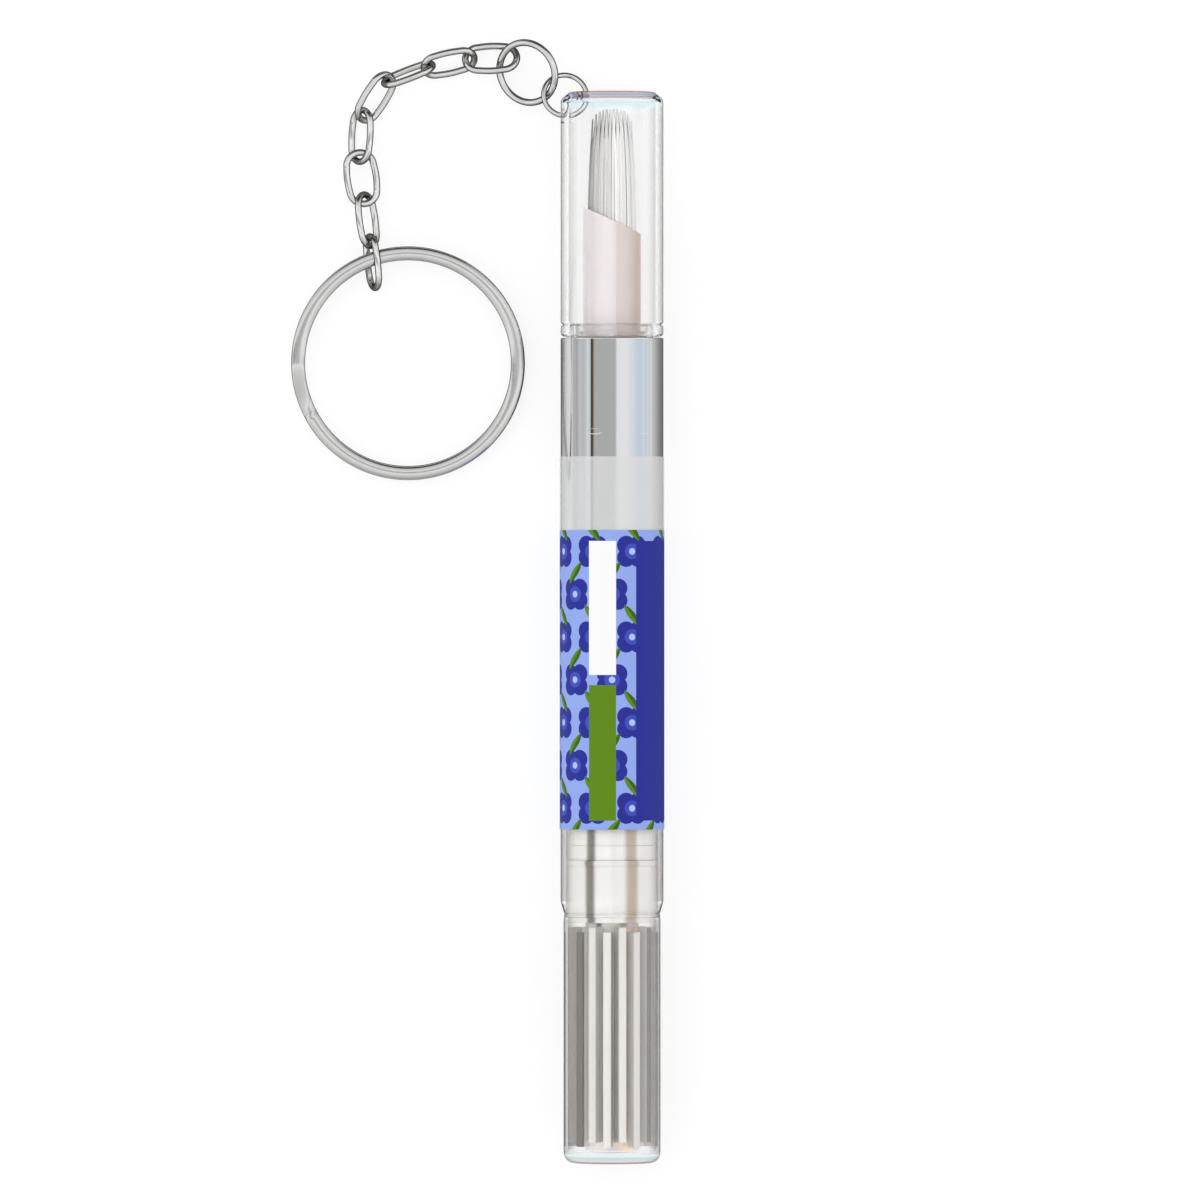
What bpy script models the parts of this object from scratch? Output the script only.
# Twist-up nail oil pen on a key chain, lying on its side on a table.
# The pen's axis runs along +Y, its twist knob at the low end and its cap at the high end.
# Two jump rings, a cable chain and a split key ring lie beside the cap.
# All sizes are in metres.
import random
from math import asin, cos, hypot, pi, radians, sin, sqrt

import bmesh
import bpy
from mathutils import Matrix, Vector

# Fits between pieces
SEAT_GAP = 0.0003
FACE_GAP = 0.0002
SLIDE_GAP = 0.00015
CUT_OVERRUN = 0.001

# Barrel: a clear tube whose front end carries the silver sleeve
PEN_RADIUS = 0.00658
TUBE_LENGTH = 0.046
TUBE_CHAMFER_LENGTH = 0.001
TUBE_CHAMFER_DEPTH = 0.00044
BORE_RADIUS = 0.005
TAIL_BORE_RADIUS = 0.00565
TAIL_BORE_LENGTH = 0.015
SLEEVE_LENGTH = 0.0276
SLEEVE_WALL = 0.0004
SLEEVE_EDGE_RADIUS = 0.00025
DIMPLE_COUNT = 6
DIMPLE_WIDTH = 0.0024
DIMPLE_HEIGHT = 0.0008
DIMPLE_DEPTH = 0.00015
DIMPLE_FROM_FRONT = 0.012
DIMPLE_FIRST_DEGREES = -20

# Label: a clear film round the barrel, printed up to a plain margin at its front end
LABEL_THICKNESS = 0.00008
LABEL_GLUE_GAP = 0.00004
LABEL_FROM_TUBE_END = 0.01075
LABEL_PRINT_LENGTH = 0.03825
LABEL_MARGIN_LENGTH = 0.0094

# Twist knob and the fluted driver inside it
KNOB_RADIUS = 0.0062
KNOB_LENGTH = 0.0315
KNOB_WALL = 0.0009
KNOB_END_WALL = 0.0013
KNOB_CORNER_RADIUS = 0.0015
KNOB_TUBE_GAP = 0.0005
DRIVER_CORE_RADIUS = 0.0034
DRIVER_HEAD_LENGTH = 0.0007
DRIVER_NECK_LENGTH = 0.007
DRIVER_NECK_WALL = 0.00095
DRIVER_LIP_LENGTH = 0.0006
DRIVER_LIP_RISE = 0.00015
DRIVER_NOSE_LENGTH = 0.0015
DRIVER_KEY_LENGTH = 0.004
RIB_COUNT = 18
RIB_THICKNESS = 0.00095
RIB_STAGGER = 0.0007
RIB_END_GAP = 0.0007
PAWL_COUNT = 2
PAWL_WIDTH = 0.0012

# Click ring and nut, fixed in the tail of the barrel
CLICK_RING_LENGTH = 0.0016
CLICK_TOOTH_COUNT = 12
CLICK_TOOTH_DEPTH = 0.0004
CLICK_RING_WALL = 0.0009
NUT_FLOOR = 0.0014
NUT_RIM_WALL = 0.0009
NUT_HUB_RADIUS = 0.0028
NUT_WEB_COUNT = 6
NUT_WEB_THICKNESS = 0.0007

# Threaded rod and piston
ROD_RADIUS = 0.00145
ROD_FLAT_WIDTH = 0.0022
ROD_TAIL_GAP = 0.0005
ROD_CHAMFER = 0.0004
ROD_THREAD_GAP = 0.0002
ROD_NECK_RADIUS = 0.0009
ROD_NECK_LENGTH = 0.0012
ROD_HEAD_LENGTH = 0.0014
PISTON_LENGTH = 0.007
PISTON_BEHIND_BORE = 0.002
PISTON_WAIST_RADIUS = 0.0043
PISTON_LIP_LENGTH = 0.0012
PISTON_DOME_HEIGHT = 0.0008
PISTON_SOCKET_DEPTH = 0.0042

# Nozzle plug in the front of the barrel
PLUG_LENGTH = 0.0131
PLUG_RIM_RADIUS = 0.0059
PLUG_RIM_LENGTH = 0.0005
COLLAR_RADIUS = 0.00525
COLLAR_WALL = 0.0006
COLLAR_LENGTH = 0.002
STEM_RADIUS = 0.0026
STEM_LENGTH = 0.007

# Brush: holder with a slanted mouth, bristles and the tube that feeds them
FLANGE_RADIUS = 0.00435
FLANGE_LENGTH = 0.001
HOLDER_RADIUS = 0.00371
HOLDER_WALL = 0.00056
HOLDER_HIGH_SIDE = 0.0168
HOLDER_LOW_SIDE = 0.0133
HOLDER_FLOOR = 0.0041
FEED_TUBE_RADIUS = 0.001
FEED_TUBE_WALL = 0.0004
TUFT_RADIUS = 0.003
TUFT_BACKING = 0.0015
TUFT_LENGTH = 0.0235
TUFT_ROWS = 18
STRAND_BASE_SHARE = 0.62
STRAND_TIP_SHARE = 0.3
TUFT_TIP_WIDTH_SHARE = 0.8
TUFT_SHORT_EDGE_SHARE = 0.14
TUFT_RAGGED_SHARE = 0.03
TUFT_EDGE_POWER = 5

# Cap
CAP_RADIUS = 0.00657
CAP_WALL = 0.001
CAP_TIP_ROOM = 0.0009
CAP_END_WALL = 0.0012
CAP_CHAMFER_WIDTH = 0.0012
CAP_CHAMFER_LENGTH = 0.001
CAP_GROOVE_DEPTH = 0.00032
CAP_GROOVE_WIDTH = 0.0005
CAP_BEAD_LENGTH = 0.00125
CAP_SNAP_RISE = 0.00015
CAP_SNAP_LENGTH = 0.001
HOLE_RADIUS = 0.0009
SIDE_HOLE_FROM_END = 0.003
SIDE_HOLE_DROP = 0.002
END_HOLE_DROP = 0.0031
END_HOLE_ACROSS = 0.00326

# Jump rings, chain links and split key ring
SMALL_RING_RADIUS = 0.0031
SMALL_RING_WIRE = 0.00065
SMALL_RING_DROOP = 8
BIG_RING_RADIUS = 0.0044
BIG_RING_WIRE = 0.0009
BIG_RING_BEARING = 148
BIG_RING_DIP = 15
BIG_RING_ROLL = -27
BIG_RING_PLAY = 0.00015
LINK_LENGTH = 0.0075
LINK_WIDTH = 0.0046
LINK_WIRE = 0.00087
LINK_BOW = 0.00012
LINK_PLAY = 0.00032
LINK_FLOOR_PLAY = 0.00003
FIRST_LINK_PLAY = 0.00195
FIRST_LINK_ANGLE = 2
LINK_NAMES = ("link_a", "link_b", "link_c", "link_d", "link_e", "link_f", "link_g", "link_h")
LINK_BEARINGS = (182.5, 192, 201, 238, 267, 277.5, 277.5, 276.5)
LINK_ROLLS = (30, -47, -110, -46, -130, -185, -238, -291)
KEY_RING_RADIUS = 0.015
KEY_RING_BAND = 0.0018
KEY_RING_TURN_THICKNESS = 0.00105
KEY_RING_TURN_GAP = 0.0001
KEY_RING_ALONG_LINK = 0.00175
KEY_RING_BEARING = 289
KEY_RING_STEP_BEARING = 192
KEY_RING_STEP_DEGREES = 24
KEY_RING_END_DEGREES = 3

# Facets
ROUND_SEGMENTS = 28
HOLE_SEGMENTS = 16
WIRE_SIDES = 8
JUMP_RING_SEGMENTS = 28
LINK_ARC_SEGMENTS = 6
LINK_LEG_SEGMENTS = 2
KEY_RING_SEGMENTS_PER_TURN = 44
CORNER_SEGMENTS = 3
SHARP_DEGREES = 35

# Stations along the pen's axis, from the tail
TUBE_START = KNOB_LENGTH + KNOB_TUBE_GAP
SLEEVE_START = TUBE_START + TUBE_LENGTH
FRONT = SLEEVE_START + SLEEVE_LENGTH
CAP_START = FRONT + FACE_GAP
TAIL_BORE_END = TUBE_START + TAIL_BORE_LENGTH
NECK_END = KNOB_LENGTH + DRIVER_NECK_LENGTH
LABEL_START = TUBE_START + LABEL_FROM_TUBE_END
LABEL_END = LABEL_START + LABEL_PRINT_LENGTH + LABEL_MARGIN_LENGTH
SPIGOT_END = FRONT - PLUG_RIM_LENGTH - FACE_GAP
PISTON_START = TAIL_BORE_END + PISTON_BEHIND_BORE
HOLDER_START = FRONT
TUFT_START = HOLDER_START + HOLDER_FLOOR + SEAT_GAP
TUFT_END = TUFT_START + TUFT_BACKING + TUFT_LENGTH
PEN_END = TUFT_END + CAP_TIP_ROOM + CAP_END_WALL

# The pen lies on its label, the widest part
LABEL_RADIUS = PEN_RADIUS + LABEL_GLUE_GAP + LABEL_THICKNESS
AXIS_HEIGHT = LABEL_RADIUS * cos(pi / ROUND_SEGMENTS)
AXIS = Vector((0, 0, AXIS_HEIGHT))
UP = Vector((0, 0, 1))


# Scene and material helpers

def clear_scene():
    for old in list(bpy.data.objects):
        bpy.data.objects.remove(old)


def material(name, colour, roughness, metallic=0.0, transmission=0.0):
    made = bpy.data.materials.new(name)
    made.use_nodes = True
    shader = made.node_tree.nodes["Principled BSDF"]
    shader.inputs["Base Color"].default_value = (*colour, 1)
    shader.inputs["Roughness"].default_value = roughness
    shader.inputs["Metallic"].default_value = metallic
    shader.inputs["Transmission Weight"].default_value = transmission
    made.diffuse_color = (*colour, 1)
    return made


def empty(name, point, parent=None):
    """An empty at a point of the pen's frame. Its children's meshes are measured from that point."""
    made = bpy.data.objects.new(name, None)
    made.empty_display_size = LINK_LENGTH
    made["point"] = list(point)
    made.parent = parent
    made.location = Vector(point) - (Vector(parent["point"]) if parent else Vector())
    bpy.context.scene.collection.objects.link(made)
    return made


def solid(name, shape, finish, body, helper=False):
    """Turns a bmesh in the pen's frame into an object whose origin is its body's pivot."""
    bmesh.ops.recalc_face_normals(shape, faces=shape.faces)
    mesh = bpy.data.meshes.new(name)
    shape.to_mesh(mesh)
    shape.free()
    mesh.transform(Matrix.Translation(-Vector(body["point"])))
    mesh.shade_smooth()
    mesh.set_sharp_from_angle(angle=radians(SHARP_DEGREES))
    if finish:
        mesh.materials.append(finish)
    made = bpy.data.objects.new(name, mesh)
    made.parent = body
    bpy.context.scene.collection.objects.link(made)
    if helper:
        made.hide_render = True
        made.hide_set(True)
        made.display_type = "WIRE"
    return made


def combine(target, other, operation):
    """Adds or cuts another solid."""
    change = target.modifiers.new(other.name, "BOOLEAN")
    change.operation = operation
    change.object = other
    change.solver = "EXACT"


# Shape helpers

def add_turned(shape, outline, segments=ROUND_SEGMENTS, axis_point=AXIS):
    """Revolves a closed outline of (radius, station) points about the pen's axis."""
    first = []
    start = Matrix.Rotation(pi / segments, 3, "Y")
    for radius, station in outline:
        place = start @ Vector((radius, 0, 0)) + Vector((0, station, 0)) + axis_point
        first.append(shape.verts.new(place))
    edges = []
    for count, (radius, station) in enumerate(outline):
        if radius > 0 or outline[count - 1][0] > 0:
            edges.append(shape.edges.new((first[count - 1], first[count])))
    bmesh.ops.spin(
        shape, geom=first + edges, cent=axis_point, axis=(0, 1, 0),
        angle=2 * pi, steps=segments, use_merge=True, use_duplicate=False,
    )
    bmesh.ops.remove_doubles(shape, verts=shape.verts, dist=LABEL_GLUE_GAP / 100)
    return shape


def turned(outline, segments=ROUND_SEGMENTS):
    return add_turned(bmesh.new(), outline, segments)


def bar(start, end, radius, segments=HOLE_SEGMENTS):
    """A round bar between two points."""
    shape = bmesh.new()
    along = Vector(end) - Vector(start)
    place = Matrix.Translation((Vector(start) + Vector(end)) / 2) @ along.to_track_quat("Z", "Y").to_matrix().to_4x4()
    bmesh.ops.create_cone(
        shape, cap_ends=True, segments=segments, radius1=radius, radius2=radius,
        depth=along.length, matrix=place,
    )
    return shape


def block(low, high, turn=0.0):
    """A box between two corners, turned about the pen's axis."""
    shape = bmesh.new()
    low, high = Vector(low), Vector(high)
    bmesh.ops.create_cube(shape, size=1)
    bmesh.ops.scale(shape, vec=high - low, verts=shape.verts)
    bmesh.ops.translate(shape, vec=(low + high) / 2, verts=shape.verts)
    bmesh.ops.rotate(shape, cent=AXIS, matrix=Matrix.Rotation(turn, 3, "Y"), verts=shape.verts)
    return shape


def prism(radii, start, end, turn=0.0):
    """A prism round the pen's axis, whose corners lie at even angles on the given radii."""
    shape = bmesh.new()
    rim = []
    for count, radius in enumerate(radii):
        angle = turn + 2 * pi * count / len(radii)
        rim.append(shape.verts.new(AXIS + Vector((radius * cos(angle), start, radius * sin(angle)))))
    face = shape.faces.new(rim)
    pushed = bmesh.ops.extrude_face_region(shape, geom=[face])["geom"]
    tips = [item for item in pushed if isinstance(item, bmesh.types.BMVert)]
    bmesh.ops.translate(shape, vec=(0, end - start, 0), verts=tips)
    return shape


def swept(path, sides, section, closed):
    """Joins sections along a path. Each path point is (centre, outward, normal)."""
    shape = bmesh.new()
    rows = []
    for centre, outward, normal in path:
        rows.append([shape.verts.new(centre + outward * a + normal * b) for a, b in section])
    pairs = list(zip(rows, rows[1:])) + ([(rows[-1], rows[0])] if closed else [])
    for low, high in pairs:
        for side in range(sides):
            following = (side + 1) % sides
            shape.faces.new((low[side], low[following], high[following], high[side]))
    if not closed:
        shape.faces.new(rows[0])
        shape.faces.new(rows[-1])
    return shape


def round_section(wire):
    step = 2 * pi / WIRE_SIDES
    radius = wire / 2
    return [(radius * cos(step * side), radius * sin(step * side)) for side in range(WIRE_SIDES)]


def arc(centre, radius, start, end, segments):
    """Points of (radius, station) along an arc, from a start to an end angle in degrees."""
    points = []
    for count in range(segments + 1):
        angle = radians(start + (end - start) * count / segments)
        points.append((centre[0] + radius * cos(angle), centre[1] + radius * sin(angle)))
    return points


# Barrel group

def make_barrel(body, finish):
    spigot = PEN_RADIUS - SLEEVE_WALL - SLIDE_GAP
    outline = [
        (TAIL_BORE_RADIUS, TUBE_START),
        (PEN_RADIUS - TUBE_CHAMFER_DEPTH, TUBE_START),
        (PEN_RADIUS, TUBE_START + TUBE_CHAMFER_LENGTH),
        (PEN_RADIUS, SLEEVE_START),
        (spigot, SLEEVE_START),
        (spigot, SPIGOT_END),
        (BORE_RADIUS, SPIGOT_END),
        (BORE_RADIUS, TAIL_BORE_END),
        (TAIL_BORE_RADIUS, TAIL_BORE_END),
    ]
    solid("barrel", turned(outline), finish, body)


def make_sleeve(body, finish):
    inner = PEN_RADIUS - SLEEVE_WALL
    start = SLEEVE_START + FACE_GAP
    edge = arc((PEN_RADIUS - SLEEVE_EDGE_RADIUS, FRONT - SLEEVE_EDGE_RADIUS), SLEEVE_EDGE_RADIUS, 0, 90, CORNER_SEGMENTS)
    outline = [(inner, start), (PEN_RADIUS, start)] + edge + [(inner, FRONT)]
    sleeve = solid("silver_sleeve", turned(outline), finish, body)
    for count in range(DIMPLE_COUNT):
        angle = radians(DIMPLE_FIRST_DEGREES + 360 * count / DIMPLE_COUNT)
        shape = bmesh.new()
        bmesh.ops.create_icosphere(shape, subdivisions=2, radius=1)
        bmesh.ops.scale(shape, vec=(DIMPLE_WIDTH / 2, DIMPLE_HEIGHT / 2, DIMPLE_DEPTH), verts=shape.verts)
        bmesh.ops.translate(shape, vec=(0, FRONT - DIMPLE_FROM_FRONT, PEN_RADIUS), verts=shape.verts)
        bmesh.ops.rotate(shape, cent=(0, 0, 0), matrix=Matrix.Rotation(angle, 3, "Y"), verts=shape.verts)
        bmesh.ops.translate(shape, vec=AXIS, verts=shape.verts)
        combine(sleeve, solid(f"dimple_cutter_{count}", shape, None, body, helper=True), "DIFFERENCE")


def make_label(body, finish):
    inner = PEN_RADIUS + LABEL_GLUE_GAP
    outline = [(inner, LABEL_START), (LABEL_RADIUS, LABEL_START), (LABEL_RADIUS, LABEL_END), (inner, LABEL_END)]
    solid("label", turned(outline), finish, body)


def make_click_ring(body, finish):
    start = NECK_END + SEAT_GAP
    outer = TAIL_BORE_RADIUS - SLIDE_GAP
    inner = outer - CLICK_RING_WALL
    outline = [(inner, start), (outer, start), (outer, start + CLICK_RING_LENGTH), (inner, start + CLICK_RING_LENGTH)]
    ring = solid("click_ring", turned(outline), finish, body)
    radii = (inner - CLICK_TOOTH_DEPTH, inner + CLICK_TOOTH_DEPTH) * CLICK_TOOTH_COUNT
    cutter = prism(radii, start - CUT_OVERRUN, start + CLICK_RING_LENGTH + CUT_OVERRUN)
    combine(ring, solid("click_tooth_cutter", cutter, None, body, helper=True), "DIFFERENCE")


def make_nut(body, finish):
    start = NECK_END + 2 * SEAT_GAP + CLICK_RING_LENGTH
    end = TAIL_BORE_END - SEAT_GAP
    outer = TAIL_BORE_RADIUS - SLIDE_GAP
    bore = ROD_RADIUS + ROD_THREAD_GAP
    outline = [
        (bore, start), (outer, start), (outer, end), (outer - NUT_RIM_WALL, end),
        (outer - NUT_RIM_WALL, start + NUT_FLOOR), (NUT_HUB_RADIUS, start + NUT_FLOOR), (NUT_HUB_RADIUS, end), (bore, end),
    ]
    nut = solid("drive_nut", turned(outline), finish, body)
    half = NUT_WEB_THICKNESS / 2
    reach = outer - NUT_RIM_WALL / 2
    root = (NUT_HUB_RADIUS + bore) / 2
    for count in range(NUT_WEB_COUNT):
        web = block(
            AXIS + Vector((root, start + NUT_FLOOR / 2, -half)),
            AXIS + Vector((reach, end - NUT_FLOOR, half)),
            2 * pi * count / NUT_WEB_COUNT,
        )
        combine(nut, solid(f"nut_web_{count}", web, None, body, helper=True), "UNION")


def make_plug(body, finish):
    start = FRONT - PLUG_LENGTH
    outer = BORE_RADIUS - SLIDE_GAP
    stem_bore = STEM_RADIUS + SLIDE_GAP
    stem_end = HOLDER_START - STEM_LENGTH - SEAT_GAP
    tube_bore = FEED_TUBE_RADIUS + SLIDE_GAP
    floor = HOLDER_START - SEAT_GAP
    rim_start = FRONT - PLUG_RIM_LENGTH
    outline = [
        (tube_bore, start), (outer, start), (outer, rim_start), (PLUG_RIM_RADIUS, rim_start), (PLUG_RIM_RADIUS, FRONT),
        (COLLAR_RADIUS, FRONT), (COLLAR_RADIUS, FRONT + COLLAR_LENGTH), (COLLAR_RADIUS - COLLAR_WALL, FRONT + COLLAR_LENGTH),
        (COLLAR_RADIUS - COLLAR_WALL, floor), (stem_bore, floor), (stem_bore, stem_end), (tube_bore, stem_end),
    ]
    solid("nozzle_plug", turned(outline), finish, body)


def make_holder(body, finish):
    tube_bore = FEED_TUBE_RADIUS + SLIDE_GAP
    top = HOLDER_START + HOLDER_HIGH_SIDE + CUT_OVERRUN
    floor = HOLDER_START + HOLDER_FLOOR
    stem_end = HOLDER_START - STEM_LENGTH
    flange_end = HOLDER_START + FLANGE_LENGTH
    inner = HOLDER_RADIUS - HOLDER_WALL
    outline = [
        (tube_bore, stem_end), (STEM_RADIUS, stem_end), (STEM_RADIUS, HOLDER_START), (FLANGE_RADIUS, HOLDER_START),
        (FLANGE_RADIUS, flange_end), (HOLDER_RADIUS, flange_end), (HOLDER_RADIUS, top), (inner, top),
        (inner, floor), (tube_bore, floor),
    ]
    holder = solid("brush_holder", turned(outline), finish, body)
    # The mouth slants across the pen, high on the side of the key chain.
    slope = (HOLDER_HIGH_SIDE - HOLDER_LOW_SIDE) / (2 * HOLDER_RADIUS)
    shape = bmesh.new()
    reach = HOLDER_RADIUS + CUT_OVERRUN
    corners = []
    for across, along in ((-1, 0), (1, 0), (1, 1), (-1, 1)):
        mouth = HOLDER_START + (HOLDER_HIGH_SIDE + HOLDER_LOW_SIDE) / 2 - slope * across * reach
        station = top + CUT_OVERRUN if along else mouth
        corners.append(shape.verts.new(AXIS + Vector((across * reach, station, -reach))))
    pushed = bmesh.ops.extrude_face_region(shape, geom=[shape.faces.new(corners)])["geom"]
    bmesh.ops.translate(shape, vec=(0, 0, 2 * reach), verts=[item for item in pushed if isinstance(item, bmesh.types.BMVert)])
    combine(holder, solid("holder_mouth_cutter", shape, None, body, helper=True), "DIFFERENCE")


def make_feed_tube(body, finish):
    start = FRONT - PLUG_LENGTH
    end = TUFT_START - SEAT_GAP
    inner = FEED_TUBE_RADIUS - FEED_TUBE_WALL
    outline = [(inner, start), (FEED_TUBE_RADIUS, start), (FEED_TUBE_RADIUS, end), (inner, end)]
    solid("feed_tube", turned(outline, HOLE_SEGMENTS), finish, body)


def make_tuft(body, finish):
    """Strands raised from the cells of a square grid that is bent into a disc."""
    shape = bmesh.new()
    start = TUFT_START + TUFT_BACKING
    grid = []
    for row in range(TUFT_ROWS + 1):
        v = 2 * row / TUFT_ROWS - 1
        line = []
        for column in range(TUFT_ROWS + 1):
            u = 2 * column / TUFT_ROWS - 1
            x = TUFT_RADIUS * u * sqrt(1 - v * v / 2)
            z = TUFT_RADIUS * v * sqrt(1 - u * u / 2)
            line.append(shape.verts.new(AXIS + Vector((x, start, z))))
        grid.append(line)
    cells = []
    for low, high in zip(grid, grid[1:]):
        for column in range(TUFT_ROWS):
            cells.append(shape.faces.new((low[column], low[column + 1], high[column + 1], high[column])))
    rim = [edge for edge in shape.edges if edge.is_boundary]
    pushed = bmesh.ops.extrude_edge_only(shape, edges=rim)["geom"]
    bmesh.ops.translate(shape, vec=(0, -TUFT_BACKING, 0), verts=[item for item in pushed if isinstance(item, bmesh.types.BMVert)])
    bmesh.ops.contextual_create(shape, geom=[item for item in pushed if isinstance(item, bmesh.types.BMEdge)])
    bmesh.ops.inset_individual(shape, faces=cells, thickness=0, depth=0)
    for cell in cells:
        middle = cell.calc_center_median()
        for corner in cell.verts:
            corner.co = middle + (corner.co - middle) * STRAND_BASE_SHARE
    chance = random.Random(7)
    strands = bmesh.ops.extrude_discrete_faces(shape, faces=cells)["faces"]
    for tip in strands:
        middle = tip.calc_center_median()
        offset = middle - AXIS
        offset.y = 0
        edge = offset.length / TUFT_RADIUS
        length = TUFT_LENGTH * (1 - TUFT_SHORT_EDGE_SHARE * edge**TUFT_EDGE_POWER - TUFT_RAGGED_SHARE * chance.random())
        target = AXIS + offset * TUFT_TIP_WIDTH_SHARE + Vector((0, start + length, 0))
        for corner in tip.verts:
            corner.co = target + (corner.co - middle) * STRAND_TIP_SHARE
    solid("bristle_tuft", shape, finish, body)


# Cap

def side_hole():
    """The middle of the wall where the small ring passes through the cap's side."""
    middle = CAP_RADIUS - CAP_WALL / 2
    return Vector((-sqrt(middle**2 - SIDE_HOLE_DROP**2), PEN_END - SIDE_HOLE_FROM_END, AXIS_HEIGHT - SIDE_HOLE_DROP))


def end_hole():
    """The middle of the wall where the small ring passes through the cap's end."""
    return Vector((-END_HOLE_ACROSS, PEN_END - CAP_END_WALL / 2, AXIS_HEIGHT - END_HOLE_DROP))


def make_cap(body, finish):
    inner = CAP_RADIUS - CAP_WALL
    snap = CAP_START + CAP_GROOVE_WIDTH
    groove = CAP_START + CAP_GROOVE_WIDTH / 2 + CAP_BEAD_LENGTH
    outline = [
        (inner, CAP_START),
        (CAP_RADIUS - CAP_GROOVE_DEPTH, CAP_START),
        (CAP_RADIUS, CAP_START + CAP_GROOVE_WIDTH / 2),
        (CAP_RADIUS, groove - CAP_GROOVE_WIDTH / 2),
        (CAP_RADIUS - CAP_GROOVE_DEPTH, groove),
        (CAP_RADIUS, groove + CAP_GROOVE_WIDTH / 2),
        (CAP_RADIUS, PEN_END - CAP_CHAMFER_LENGTH),
        (CAP_RADIUS - CAP_CHAMFER_WIDTH, PEN_END),
        (0, PEN_END),
        (0, PEN_END - CAP_END_WALL),
        (inner, PEN_END - CAP_END_WALL),
        (inner, snap + CAP_SNAP_LENGTH),
        (inner - CAP_SNAP_RISE, snap + CAP_SNAP_LENGTH / 2),
        (inner, snap),
    ]
    cap = solid("cap_shell", turned(outline), finish, body)
    side = side_hole()
    end = end_hole()
    across = Vector((CAP_WALL + CUT_OVERRUN, 0, 0))
    along = Vector((0, CAP_END_WALL + CUT_OVERRUN, 0))
    cutters = (("side_hole_cutter", side, across), ("end_hole_cutter", end, along))
    for name, point, reach in cutters:
        combine(cap, solid(name, bar(point - reach, point + reach, HOLE_RADIUS), None, body, helper=True), "DIFFERENCE")


# Twist drive

def make_knob(body, finish):
    corner = arc((KNOB_RADIUS - KNOB_CORNER_RADIUS, KNOB_CORNER_RADIUS), KNOB_CORNER_RADIUS, -90, 0, CORNER_SEGMENTS + 1)
    inner = KNOB_RADIUS - KNOB_WALL
    outline = [(0, KNOB_END_WALL), (0, 0)] + corner + [(KNOB_RADIUS, KNOB_LENGTH), (inner, KNOB_LENGTH), (inner, KNOB_END_WALL)]
    solid("twist_knob", turned(outline), finish, body)


def make_driver(body, finish):
    start = KNOB_END_WALL + SEAT_GAP
    head = KNOB_RADIUS - KNOB_WALL - SLIDE_GAP
    head_start = KNOB_LENGTH - DRIVER_HEAD_LENGTH
    neck = TAIL_BORE_RADIUS - SLIDE_GAP - DRIVER_LIP_RISE
    bore = ROD_RADIUS + SEAT_GAP
    pocket = KNOB_LENGTH + DRIVER_HEAD_LENGTH
    nose_end = NECK_END + DRIVER_NOSE_LENGTH
    key_start = nose_end - DRIVER_KEY_LENGTH
    outline = [
        (0, key_start), (bore, key_start), (bore, start), (DRIVER_CORE_RADIUS, start), (DRIVER_CORE_RADIUS, head_start),
        (head, head_start), (head, KNOB_LENGTH), (neck, KNOB_LENGTH), (neck, NECK_END - DRIVER_LIP_LENGTH),
        (neck + DRIVER_LIP_RISE, NECK_END - DRIVER_LIP_LENGTH / 2), (neck + DRIVER_LIP_RISE, NECK_END),
        (neck - DRIVER_NECK_WALL, NECK_END), (neck - DRIVER_NECK_WALL, pocket), (DRIVER_CORE_RADIUS, pocket),
        (DRIVER_CORE_RADIUS, nose_end), (0, nose_end),
    ]
    driver = solid("knob_driver", turned(outline), finish, body)
    root = (DRIVER_CORE_RADIUS + bore) / 2
    half = RIB_THICKNESS / 2
    for count in range(RIB_COUNT):
        stagger = RIB_STAGGER * (count % 2)
        rib = block(
            AXIS + Vector((root, start + RIB_END_GAP + stagger, -half)),
            AXIS + Vector((head, head_start - RIB_END_GAP + RIB_STAGGER - stagger, half)),
            2 * pi * (count + 0.5) / RIB_COUNT,
        )
        combine(driver, solid(f"driver_rib_{count}", rib, None, body, helper=True), "UNION")
    ring_inner = TAIL_BORE_RADIUS - SLIDE_GAP - CLICK_RING_WALL
    for count in range(PAWL_COUNT):
        pawl = block(
            AXIS + Vector((root, NECK_END + SEAT_GAP, -PAWL_WIDTH / 2)),
            AXIS + Vector((ring_inner - SEAT_GAP, nose_end, PAWL_WIDTH / 2)),
            2 * pi * count / PAWL_COUNT,
        )
        combine(driver, solid(f"driver_pawl_{count}", pawl, None, body, helper=True), "UNION")
    key = flattened_bar(key_start - CUT_OVERRUN, nose_end + CUT_OVERRUN, SLIDE_GAP)
    combine(driver, solid("driver_key_cutter", key, None, body, helper=True), "DIFFERENCE")


def flattened_bar(start, end, clearance=0.0):
    """A round bar with two flats, as the threaded rod has, grown by a clearance."""
    radius = ROD_RADIUS + clearance
    flat = asin((ROD_FLAT_WIDTH / 2 + clearance) / radius)
    angles = []
    steps = HOLE_SEGMENTS // 4
    for side in (0, pi):
        for count in range(steps + 1):
            angles.append(side - flat + 2 * flat * count / steps)
    shape = bmesh.new()
    rim = [shape.verts.new(AXIS + Vector((radius * cos(a), start, radius * sin(a)))) for a in angles]
    pushed = bmesh.ops.extrude_face_region(shape, geom=[shape.faces.new(rim)])["geom"]
    bmesh.ops.translate(shape, vec=(0, end - start, 0), verts=[item for item in pushed if isinstance(item, bmesh.types.BMVert)])
    return shape


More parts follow.
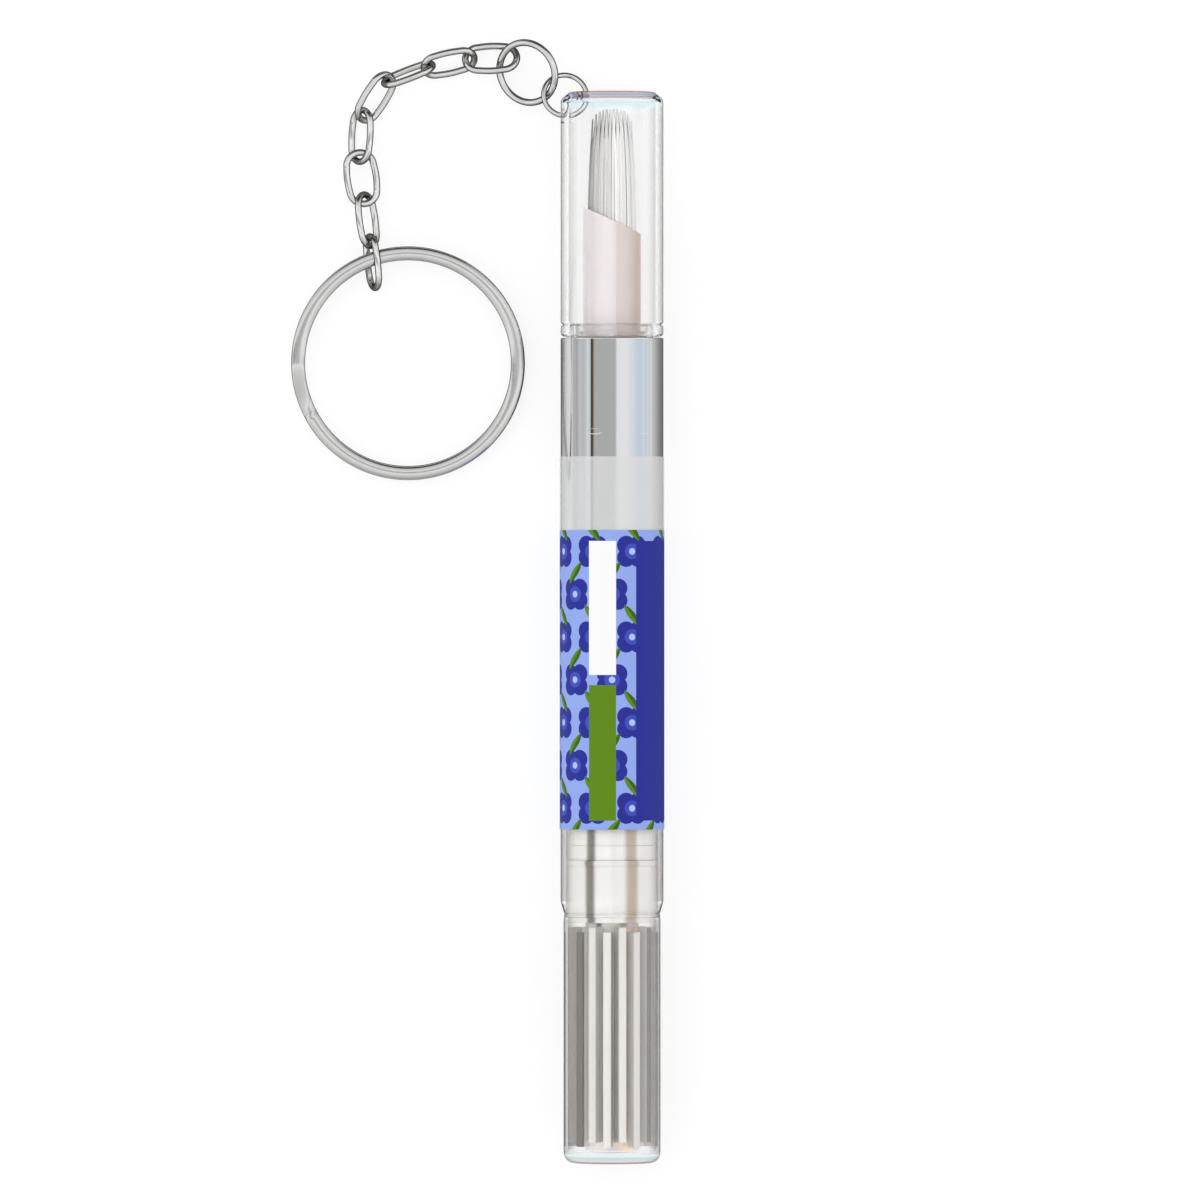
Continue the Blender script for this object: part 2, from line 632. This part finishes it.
def make_rod(body, finish):
    start = KNOB_END_WALL + ROD_TAIL_GAP
    socket_end = PISTON_START + PISTON_SOCKET_DEPTH - SEAT_GAP
    shoulder = socket_end - ROD_HEAD_LENGTH - ROD_NECK_LENGTH
    rod = solid("screw_rod", flattened_bar(start, shoulder), finish, body)
    tip = [
        (0, shoulder - ROD_CHAMFER), (ROD_NECK_RADIUS, shoulder - ROD_CHAMFER), (ROD_NECK_RADIUS, socket_end - ROD_HEAD_LENGTH),
        (ROD_FLAT_WIDTH / 2, socket_end - ROD_HEAD_LENGTH), (ROD_FLAT_WIDTH / 2, socket_end - ROD_CHAMFER),
        (ROD_FLAT_WIDTH / 2 - ROD_CHAMFER, socket_end), (0, socket_end),
    ]
    combine(rod, solid("rod_tip", turned(tip, HOLE_SEGMENTS), None, body, helper=True), "UNION")


def make_piston(body, finish):
    start = PISTON_START
    end = start + PISTON_LENGTH
    lip = BORE_RADIUS - SLIDE_GAP
    socket = ROD_RADIUS + SEAT_GAP
    lip_end = end - PISTON_DOME_HEIGHT
    outline = [
        (0, start + PISTON_SOCKET_DEPTH), (socket, start + PISTON_SOCKET_DEPTH), (socket, start), (lip, start),
        (lip, start + PISTON_LIP_LENGTH), (PISTON_WAIST_RADIUS, start + 2 * PISTON_LIP_LENGTH),
        (PISTON_WAIST_RADIUS, lip_end - 2 * PISTON_LIP_LENGTH), (lip, lip_end - PISTON_LIP_LENGTH), (lip, lip_end),
        (PISTON_WAIST_RADIUS, lip_end), (0, end),
    ]
    solid("piston", turned(outline), finish, body)


# Rings and chain

def wire_ring(radius, wire, across, outward):
    """A closed wire ring about the origin, in the plane of two directions."""
    path = []
    normal = across.cross(outward)
    for count in range(JUMP_RING_SEGMENTS):
        angle = 2 * pi * count / JUMP_RING_SEGMENTS
        ray = across * cos(angle) + outward * sin(angle)
        path.append((ray * (radius - wire / 2), ray, normal))
    return swept(path, WIRE_SIDES, round_section(wire), True)


def link_shape():
    """An oval link about the origin, long along X and flat across Z, with legs that bow out a little."""
    arc_radius = (LINK_WIDTH - LINK_WIRE) / 2 - LINK_BOW
    straight = (LINK_LENGTH - LINK_WIRE) / 2 - arc_radius
    path = []
    for end in (1, -1):
        for count in range(LINK_ARC_SEGMENTS + 1):
            angle = pi * (count / LINK_ARC_SEGMENTS - 0.5)
            ray = Vector((cos(angle), sin(angle), 0)) * end
            path.append((Vector((straight * end, 0, 0)) + ray * arc_radius, ray, UP))
        for count in range(1, LINK_LEG_SEGMENTS):
            share = 2 * count / LINK_LEG_SEGMENTS - 1
            side = Vector((0, end, 0))
            bowed = arc_radius + LINK_BOW * (1 - share * share)
            path.append((Vector((-share * straight * end, 0, 0)) + side * bowed, side, UP))
    return swept(path, WIRE_SIDES, round_section(LINK_WIRE), True)


def rolled_frame(direction, roll):
    """Three axes: ahead along a direction, and left and up turned about it by a roll in degrees."""
    ahead = direction.normalized()
    level = UP.cross(ahead).normalized()
    turn = Matrix.Rotation(radians(roll), 3, ahead)
    return ahead, turn @ level, turn @ ahead.cross(level)


def heading(bearing, rise):
    """A direction by its bearing in degrees and the sine of its rise."""
    level = sqrt(1 - rise * rise)
    return Vector((cos(radians(bearing)) * level, sin(radians(bearing)) * level, rise))


def resting_height(roll):
    """How high the middle of a rolled link lies when its lower leg is on the table."""
    return (LINK_WIDTH - LINK_WIRE) / 2 * abs(sin(radians(roll))) + LINK_WIRE / 2 + LINK_FLOOR_PLAY


def make_small_ring(cap, finish):
    """The ring hinges on the line between its two holes. Returns its body and the wire's far point and direction."""
    start = side_hole()
    end = end_hole()
    middle = (start + end) / 2
    hinge = (end - start).normalized()
    level = -hinge.cross(UP).normalized()
    if level.x > 0:
        level.negate()
    rise = level.cross(hinge)
    if rise.z < 0:
        rise.negate()
    outward = level * cos(radians(SMALL_RING_DROOP)) - rise * sin(radians(SMALL_RING_DROOP))
    wire_radius = SMALL_RING_RADIUS - SMALL_RING_WIRE / 2
    centre = middle + outward * sqrt(wire_radius**2 - (end - start).length_squared / 4)
    body = empty("small_ring_pivot", middle, cap)
    shape = wire_ring(SMALL_RING_RADIUS, SMALL_RING_WIRE, hinge, outward)
    bmesh.ops.translate(shape, vec=centre, verts=shape.verts)
    solid("small_jump_ring", shape, finish, body)
    normal = hinge.cross(outward)
    towards = heading(BIG_RING_BEARING, 0)
    towards = (towards - normal * towards.dot(normal)).normalized()
    body["hinge"] = list(hinge)
    return body, centre + towards * wire_radius, normal.cross(towards)


def make_big_ring(small_ring, contact, tangent, finish):
    rise = -sin(radians(BIG_RING_DIP))
    ahead, left, up = rolled_frame(heading(BIG_RING_BEARING, rise), BIG_RING_ROLL)
    wire_radius = BIG_RING_RADIUS - BIG_RING_WIRE / 2
    hold = (SMALL_RING_WIRE + BIG_RING_WIRE) / 2 + BIG_RING_PLAY
    centre = contact + ahead * (wire_radius - hold)
    body = empty("big_ring_pivot", contact, small_ring)
    body["hinge"] = list(tangent)
    shape = wire_ring(BIG_RING_RADIUS, BIG_RING_WIRE, ahead, left)
    bmesh.ops.translate(shape, vec=centre, verts=shape.verts)
    solid("big_jump_ring", shape, finish, body)
    angle = radians(FIRST_LINK_ANGLE)
    far = centre + (ahead * cos(angle) + left * sin(angle)) * wire_radius
    return body, far, left * cos(angle) - ahead * sin(angle)


def make_chain(big_ring, contact, tangent, finish):
    """Each link hangs on the wire before it. Returns the last link's body and its axes."""
    reach = (LINK_LENGTH - LINK_WIRE) / 2
    heights = [resting_height(roll) for roll in LINK_ROLLS]
    body = big_ring
    shape = link_shape()
    mesh = bpy.data.meshes.new("link")
    bmesh.ops.recalc_face_normals(shape, faces=shape.faces)
    shape.to_mesh(mesh)
    shape.free()
    mesh.shade_smooth()
    mesh.materials.append(finish)
    for count, name in enumerate(LINK_NAMES):
        behind = FIRST_LINK_PLAY if count == 0 else LINK_WIRE + LINK_PLAY
        end_height = max(heights[count:count + 2])
        rise = (end_height - contact.z) / (2 * reach - behind)
        ahead, left, up = rolled_frame(heading(LINK_BEARINGS[count], rise), LINK_ROLLS[count])
        middle = contact + ahead * (reach - behind)
        body = empty(f"{name}_pivot", contact, body)
        body["hinge"] = list(tangent)
        link = bpy.data.objects.new(name, mesh)
        link.parent = body
        link.matrix_local = Matrix.Translation(middle - contact) @ Matrix((ahead, left, up)).transposed().to_4x4()
        bpy.context.scene.collection.objects.link(link)
        start = contact
        contact = middle + ahead * reach
        tangent = left
    return body, start, ahead


def make_key_ring(last_link, start, ahead, finish):
    """A split ring of two stacked turns, joined by one step. It rests on the table and on the last link's lower leg."""
    band = KEY_RING_RADIUS - KEY_RING_BAND / 2
    half = KEY_RING_TURN_THICKNESS + KEY_RING_TURN_GAP / 2
    crossing = start + ahead * KEY_RING_ALONG_LINK
    rise = -(crossing.z - half) / (2 * band)
    inward, side, normal = rolled_frame(heading(KEY_RING_BEARING, rise), 0)
    centre = crossing + inward * band
    body = empty("key_ring_pivot", crossing, last_link)
    body["hinge"] = list(normal)
    lift = (KEY_RING_TURN_THICKNESS + KEY_RING_TURN_GAP) / 2
    step = KEY_RING_STEP_DEGREES
    first = step / 2 + KEY_RING_END_DEGREES
    last = 720 - first
    count = round((last - first) / 360 * KEY_RING_SEGMENTS_PER_TURN)
    path = []
    for index in range(count + 1):
        degrees = first + (last - first) * index / count
        climb = min(max((degrees - 360) / step + 0.5, 0), 1)
        height = lift * (1 - 2 * climb * climb * (3 - 2 * climb))
        angle = radians(KEY_RING_STEP_BEARING + degrees - KEY_RING_BEARING)
        ray = inward * cos(angle) + side * sin(angle)
        path.append((centre + ray * band + normal * height, ray, normal))
    wide = KEY_RING_BAND / 2
    thick = KEY_RING_TURN_THICKNESS / 2
    section = []
    for side_count in range(WIRE_SIDES):
        angle = 2 * pi * (side_count + 0.5) / WIRE_SIDES
        stretch = 1 / cos(pi / WIRE_SIDES)
        section.append((wide * cos(angle) * stretch, thick * sin(angle) * stretch))
    solid("key_ring", swept(path, WIRE_SIDES, section, False), finish, body)


def settle(frame):
    """Moves the whole part so that the bottom centre of its box is the origin."""
    bpy.context.view_layer.update()
    graph = bpy.context.evaluated_depsgraph_get()
    corners = []
    for item in bpy.data.objects:
        if item.type == "MESH" and not item.hide_render:
            placed = item.evaluated_get(graph)
            corners += [placed.matrix_world @ vertex.co for vertex in placed.data.vertices]
    low = [min(corner[axis] for corner in corners) for axis in range(3)]
    high = [max(corner[axis] for corner in corners) for axis in range(3)]
    frame.location = (-(low[0] + high[0]) / 2, -(low[1] + high[1]) / 2, -low[2])


def main():
    clear_scene()
    clear = material("clear_plastic", (0.86, 0.88, 0.88), 0.06, transmission=0.9)
    smoke = material("ribbed_plastic", (0.62, 0.6, 0.58), 0.25, transmission=0.3)
    silver = material("silver_plating", (0.72, 0.73, 0.74), 0.12, 1.0)
    steel = material("bright_steel", (0.68, 0.68, 0.66), 0.16, 1.0)
    milky = material("milky_plastic", (0.85, 0.79, 0.77), 0.35)
    white = material("white_plastic", (0.85, 0.85, 0.84), 0.4)
    nylon = material("bristle_nylon", (0.74, 0.74, 0.73), 0.35)
    seal = material("seal_plastic", (0.9, 0.9, 0.9), 0.45)
    printed = material("label_print", (0.31, 0.42, 0.85), 0.3)

    frame = empty("pen_frame", (0, 0, 0))
    make_barrel(frame, clear)
    make_sleeve(frame, silver)
    make_label(frame, printed)
    make_click_ring(frame, white)
    make_nut(frame, white)
    make_plug(frame, clear)
    make_holder(frame, milky)
    make_feed_tube(frame, white)
    make_tuft(frame, nylon)

    knob = empty("knob_axis", AXIS, frame)
    make_knob(knob, clear)
    make_driver(knob, smoke)
    plunger = empty("piston_axis", AXIS + Vector((0, PISTON_START, 0)), frame)
    make_piston(plunger, seal)
    rod = empty("rod_axis", AXIS + Vector((0, PISTON_START, 0)), plunger)
    make_rod(rod, white)

    cap = empty("cap_axis", AXIS + Vector((0, CAP_START, 0)), frame)
    make_cap(cap, clear)
    small_ring, contact, tangent = make_small_ring(cap, steel)
    big_ring, contact, tangent = make_big_ring(small_ring, contact, tangent, steel)
    last_link, start, ahead = make_chain(big_ring, contact, tangent, steel)
    make_key_ring(last_link, start, ahead, steel)
    settle(frame)


main()
